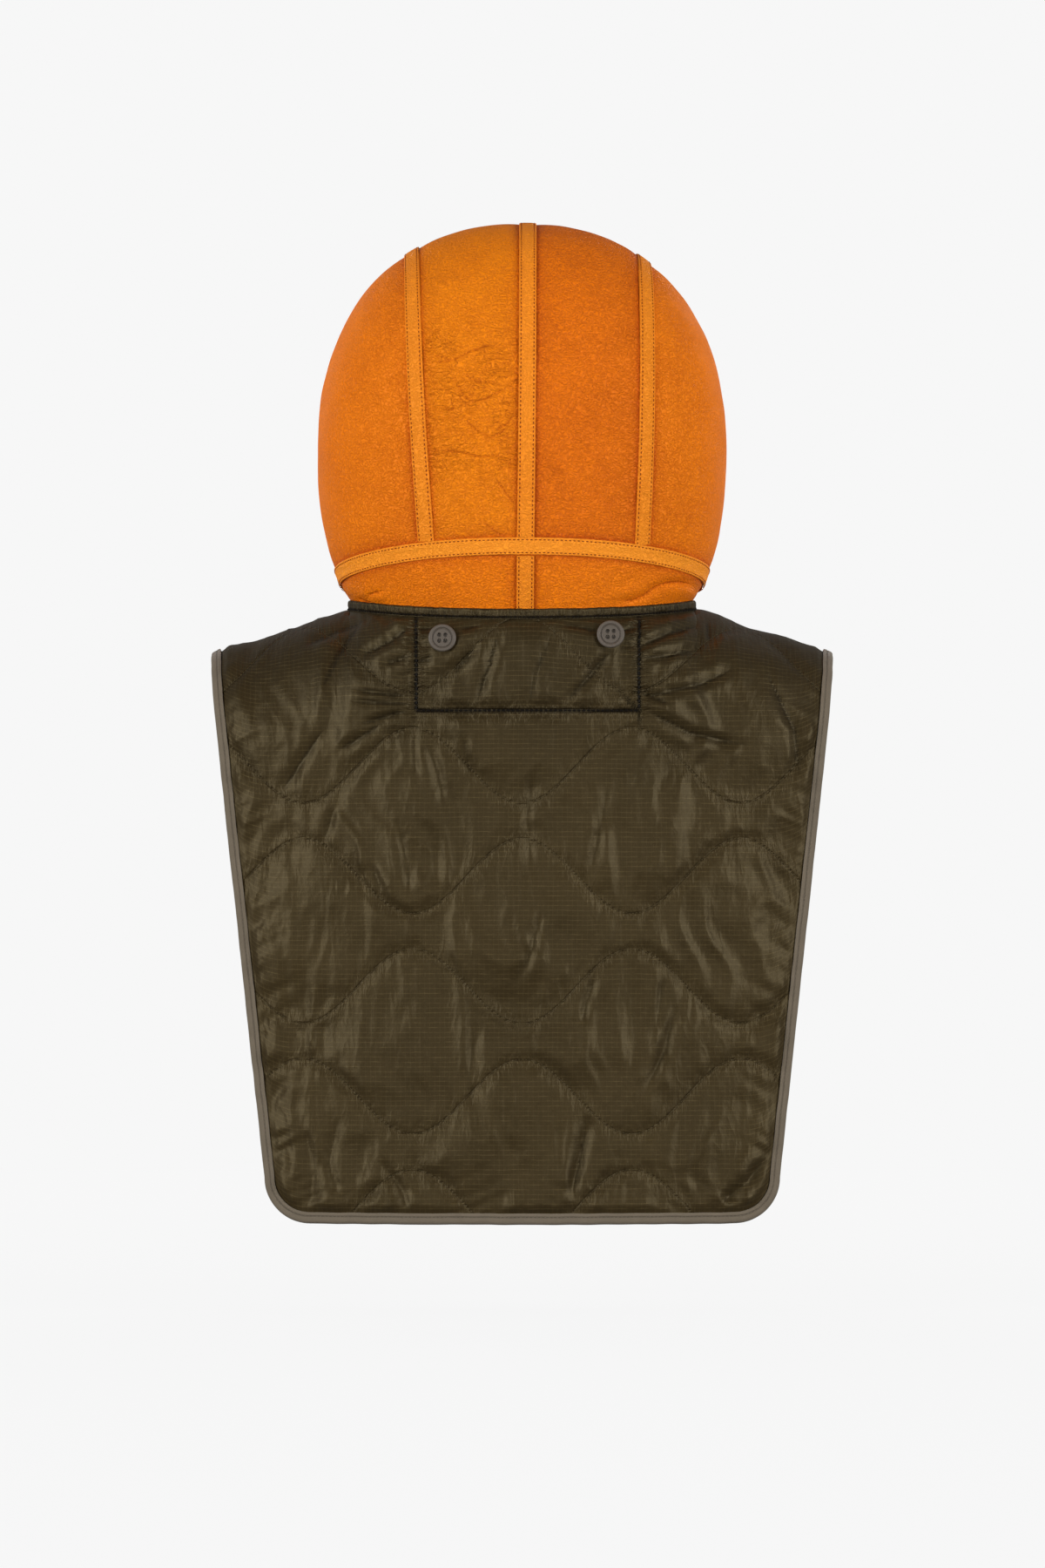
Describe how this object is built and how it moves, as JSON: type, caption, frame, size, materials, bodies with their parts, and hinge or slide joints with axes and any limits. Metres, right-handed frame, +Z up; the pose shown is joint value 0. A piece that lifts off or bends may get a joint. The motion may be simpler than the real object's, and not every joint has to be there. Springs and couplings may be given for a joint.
{
  "type": "shearling hood with quilted bib",
  "caption": "Pull-on hood of leather-side-out shearling panels with taped seams, sewn to a wave-quilted nylon bib with bound edges and coat buttons.",
  "frame": {"origin": "inside of the crown, where the top of the wearer's head meets it", "axes": "+Z up, +Y the way the wearer faces, +X the wearer's right"},
  "size_m": [0.4522, 0.2613, 0.7242],
  "materials": {
    "leather_crown": "smooth orange leather with fine grain and creases",
    "leather_side": "smooth orange leather with fine grain",
    "leather_neck": "smooth orange leather, creased where it tucks into the bib",
    "leather_tape": "lighter orange leather tape with two rows of stitches",
    "wool_pile": "curly cream wool pile",
    "quilted_nylon": "satin olive ripstop nylon, padded and wave quilted",
    "binding_tape": "matt taupe binding tape",
    "button_resin": "satin taupe resin"
  },
  "bodies": {
    "root": {"crown_panel_left": "leather_crown", "crown_panel_right": "leather_crown", "side_panel_left": "leather_side", "side_panel_right": "leather_side", "neck_band_left": "leather_neck", "neck_band_right": "leather_neck", "pile_crown_left": "wool_pile", "pile_crown_right": "wool_pile", "pile_side_left": "wool_pile", "pile_side_right": "wool_pile", "pile_neck_left": "wool_pile", "pile_neck_right": "wool_pile", "tape_left": "leather_tape", "tape_centre": "leather_tape", "tape_right": "leather_tape", "tape_nape": "leather_tape", "tape_neck": "leather_tape", "bib_back": "quilted_nylon", "bib_front": "quilted_nylon", "neck_edge": "quilted_nylon", "binding_back": "binding_tape", "binding_front": "binding_tape", "button_left": "button_resin", "button_right": "button_resin"}
  },
  "joints": []
}
